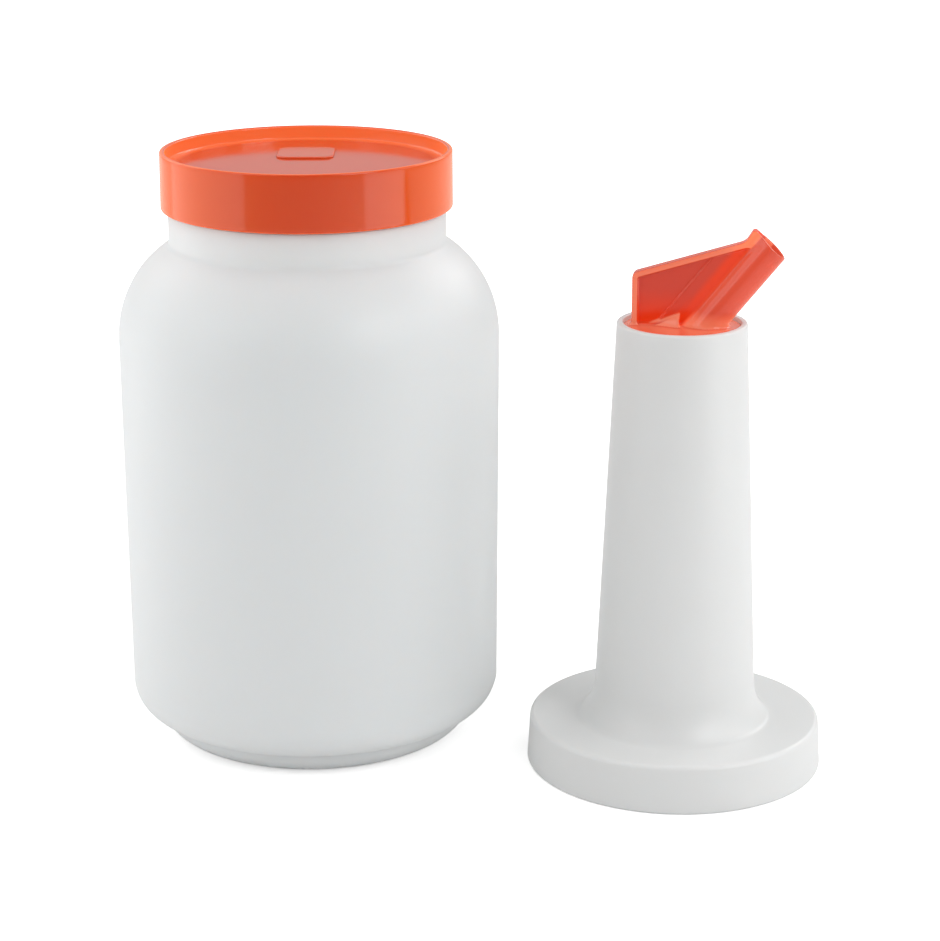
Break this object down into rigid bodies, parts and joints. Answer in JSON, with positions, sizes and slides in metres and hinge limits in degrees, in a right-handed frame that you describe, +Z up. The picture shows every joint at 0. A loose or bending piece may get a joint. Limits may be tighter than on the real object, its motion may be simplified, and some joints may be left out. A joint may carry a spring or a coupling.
{
  "type": "store and pour bottle",
  "caption": "Wide-mouth plastic jar closed by a screw lid, with its separate threaded pouring neck and turning grip-fin spout standing beside it.",
  "frame": {"origin": "middle of the pair's footprint, on the surface that the jar and the pouring neck stand on", "axes": "+Z up, +X from the jar towards the pouring neck, +Y to the back of the picture's view"},
  "size_m": [0.2268, 0.143, 0.1941],
  "materials": {
    "jar_plastic": "satin, slightly translucent natural white",
    "lid_plastic": "gloss orange",
    "liner_foam": "matt foam",
    "neck_plastic": "satin white",
    "seal_rubber": "matt soft seal",
    "spout_plastic": "gloss translucent orange"
  },
  "bodies": {
    "jar": {"jar": "jar_plastic"},
    "lid_seal": {"lid_liner": "liner_foam"},
    "lid": {"lid": "lid_plastic"},
    "neck": {"neck": "neck_plastic", "neck_gasket": "seal_rubber"},
    "spout_seal": {"spout_seal_ring": "seal_rubber"},
    "spout": {"spout": "spout_plastic"}
  },
  "joints": [
    {"name": "lid_lift", "type": "slide", "parent": "jar", "child": "lid_seal", "axis": [0, 0, 1], "range_m": [0, 0.0153]},
    {"name": "lid_turn", "type": "hinge", "parent": "lid_seal", "child": "lid", "pos_m": [-0.05195, 0.01, 0.185], "axis": [0, 0, 1], "range_deg": [0, 1080]},
    {"name": "neck_lift", "type": "slide", "parent": "jar", "child": "neck", "axis": [0, 0, 1], "range_m": [0, 0.1]},
    {"name": "spout_pull", "type": "slide", "parent": "neck", "child": "spout_seal", "axis": [0, 0, 1], "range_m": [0, 0.022]},
    {"name": "spout_swivel", "type": "hinge", "parent": "spout_seal", "child": "spout", "pos_m": [0.06605, -0.0241, 0.1444], "axis": [0, 0, 1], "continuous": true}
  ],
  "couplings": [
    {"joint": "lid_lift", "follows": "lid_turn", "m_per_rad": 0.00080851}
  ]
}
